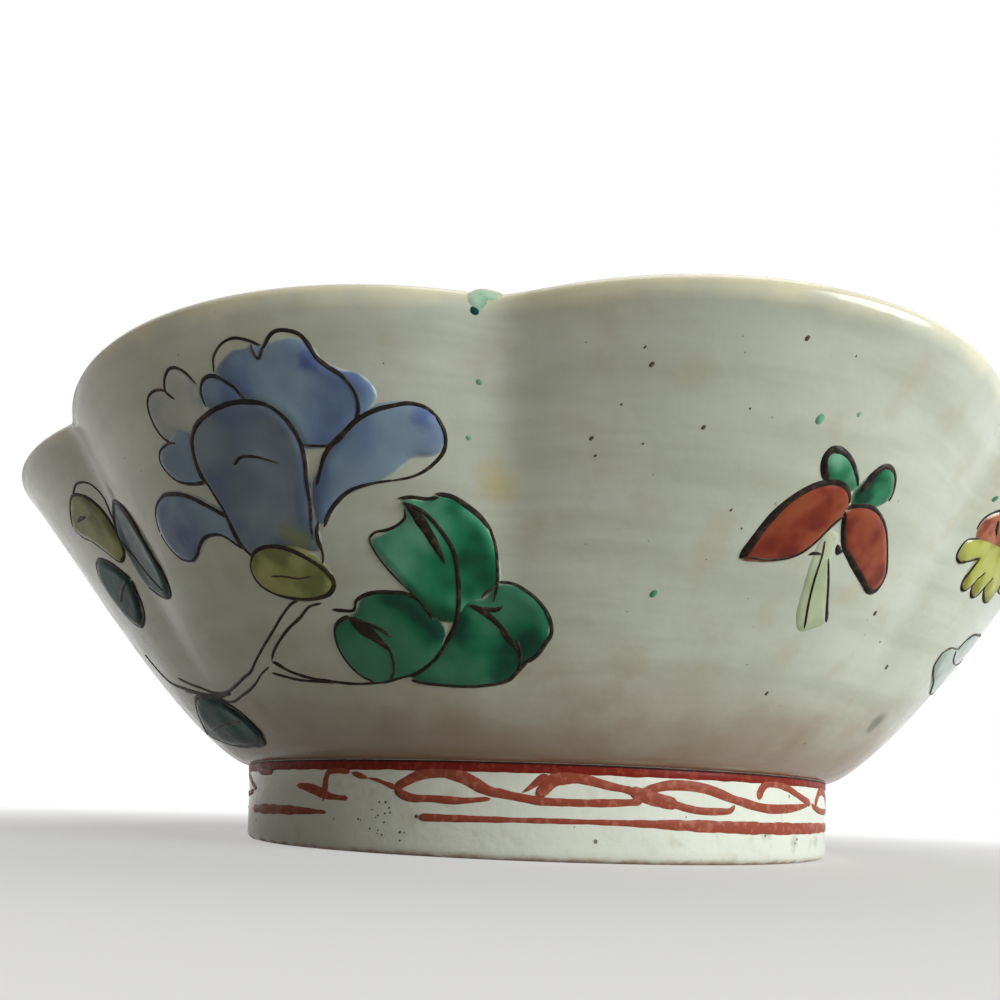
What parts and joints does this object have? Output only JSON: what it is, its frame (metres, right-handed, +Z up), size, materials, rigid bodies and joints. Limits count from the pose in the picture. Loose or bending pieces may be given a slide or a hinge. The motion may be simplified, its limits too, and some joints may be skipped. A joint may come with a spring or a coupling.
{
  "type": "footed bowl",
  "caption": "Lobed porcelain bowl with flaring wall and rounded lip on a low round foot ring, painted outside with raised enamel flower sprays and red foot bands.",
  "frame": {"origin": "middle of the foot ring, on the surface that the bowl stands on", "axes": "+Z up out of the mouth; -Y is the front, through the crease that faces the camera between the peony and the red sprig; +X to the right of it"},
  "size_m": [0.135, 0.135, 0.0415],
  "materials": {
    "glazed_porcelain": "glossy glaze, faint crackle and specks",
    "foot_porcelain": "glossy glaze, bare worn edge",
    "foot_red": "satin iron-red enamel",
    "blue": "glossy enamel",
    "pale_blue": "glossy thin enamel",
    "yellow_green": "glossy enamel",
    "green": "glossy enamel",
    "dark_green": "glossy enamel",
    "pale_green": "glossy thin enamel",
    "sea_green": "glossy enamel",
    "red": "satin iron-red enamel",
    "orange": "satin enamel",
    "yellow": "glossy enamel"
  },
  "bodies": {
    "root": {"bowl_body": "glazed_porcelain", "bud_1_bud": "yellow_green", "bud_1_left_leaf": "dark_green", "bud_1_low_leaf": "dark_green", "bud_1_right_leaf": "dark_green", "bud_2_bud": "yellow_green", "bud_2_left_leaf": "dark_green", "bud_2_low_leaf": "dark_green", "bud_2_right_leaf": "dark_green", "daisy_1_heart": "orange", "daisy_1_leaf": "sea_green", "daisy_1_petals": "yellow", "daisy_2_heart": "orange", "daisy_2_leaf": "sea_green", "daisy_2_petals": "yellow", "foot_band": "foot_red", "foot_line_1": "foot_red", "foot_line_2": "foot_red", "foot_line_3": "foot_red", "foot_line_4": "foot_red", "foot_ring": "foot_porcelain", "peony_1_calyx": "yellow_green", "peony_1_front_petal": "blue", "peony_1_left_petal": "blue", "peony_1_lower_petal": "blue", "peony_1_pale_petal": "pale_blue", "peony_1_right_leaf": "green", "peony_1_right_petal": "blue", "peony_1_rolled_leaf": "green", "peony_1_small_petal": "blue", "peony_1_top_petal": "blue", "peony_1_upper_leaf": "green", "peony_2_calyx": "yellow_green", "peony_2_front_petal": "blue", "peony_2_left_petal": "blue", "peony_2_lower_petal": "blue", "peony_2_pale_petal": "pale_blue", "peony_2_right_leaf": "green", "peony_2_right_petal": "blue", "peony_2_rolled_leaf": "green", "peony_2_small_petal": "blue", "peony_2_top_petal": "blue", "peony_2_upper_leaf": "green", "sprig_1_left_leaf": "green", "sprig_1_left_petal": "red", "sprig_1_right_leaf": "green", "sprig_1_right_petal": "red", "sprig_1_stem": "pale_green", "sprig_2_left_leaf": "green", "sprig_2_left_petal": "red", "sprig_2_right_leaf": "green", "sprig_2_right_petal": "red", "sprig_2_stem": "pale_green"}
  },
  "joints": []
}
